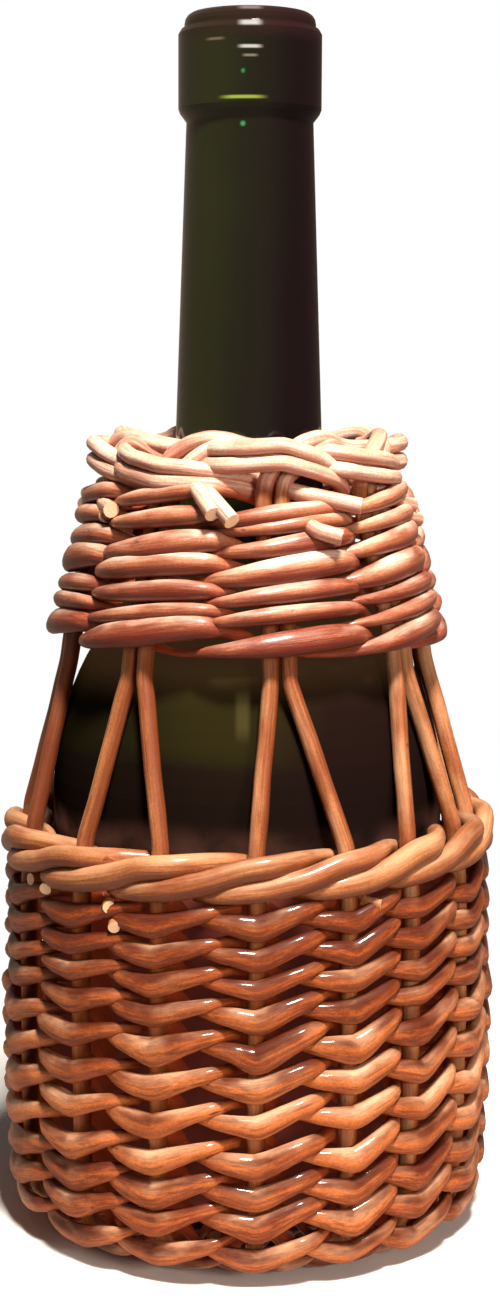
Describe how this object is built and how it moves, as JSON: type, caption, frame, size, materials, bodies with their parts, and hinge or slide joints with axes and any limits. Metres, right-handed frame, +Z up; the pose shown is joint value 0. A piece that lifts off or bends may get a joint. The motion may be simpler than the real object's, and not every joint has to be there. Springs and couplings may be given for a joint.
{
  "type": "wicker-covered wine bottle",
  "caption": "Dark green glass bottle with a round body and long ringed neck, held in a woven willow basket with an open window and a collar.",
  "frame": {"origin": "on the table, under the axis of the bottle", "axes": "+Z up along the bottle's axis to the mouth, -Y to the front of the picture, +X to its right"},
  "size_m": [0.1088, 0.1086, 0.26],
  "materials": {
    "glass": "glossy, very dark green",
    "willow_pale": "peeled willow, pinkish pale",
    "willow_tan": "peeled willow, orange tan",
    "willow_brown": "peeled willow, warm brown"
  },
  "bodies": {
    "root": {"glass_bottle": "glass", "base_sticks": "willow_brown", "base_row_1": "willow_brown", "base_row_2": "willow_brown", "base_row_3": "willow_brown", "foot_row": "willow_brown", "low_row_1": "willow_brown", "low_row_2": "willow_brown", "low_row_3": "willow_brown", "wall_row_1": "willow_brown", "wall_row_2": "willow_brown", "wall_row_3": "willow_brown", "wall_row_4": "willow_brown", "wall_row_5": "willow_brown", "wall_row_6": "willow_brown", "wall_row_7": "willow_brown", "wall_row_8": "willow_brown", "rim_border": "willow_tan", "collar_row_1": "willow_pale", "collar_row_2": "willow_pale", "collar_row_3": "willow_pale", "collar_row_4": "willow_pale", "collar_row_5": "willow_pale", "collar_row_6": "willow_pale", "collar_row_7": "willow_pale", "stake_1": "willow_tan", "stake_2": "willow_tan", "stake_3": "willow_tan", "stake_4": "willow_tan", "stake_5": "willow_tan", "stake_6": "willow_tan", "stake_7": "willow_tan", "stake_8": "willow_tan", "stake_9": "willow_tan", "stake_10": "willow_tan", "stake_11": "willow_tan", "stake_12": "willow_tan", "stake_13": "willow_tan", "stake_14": "willow_tan", "stake_15": "willow_tan", "stake_16": "willow_tan"}
  },
  "joints": []
}
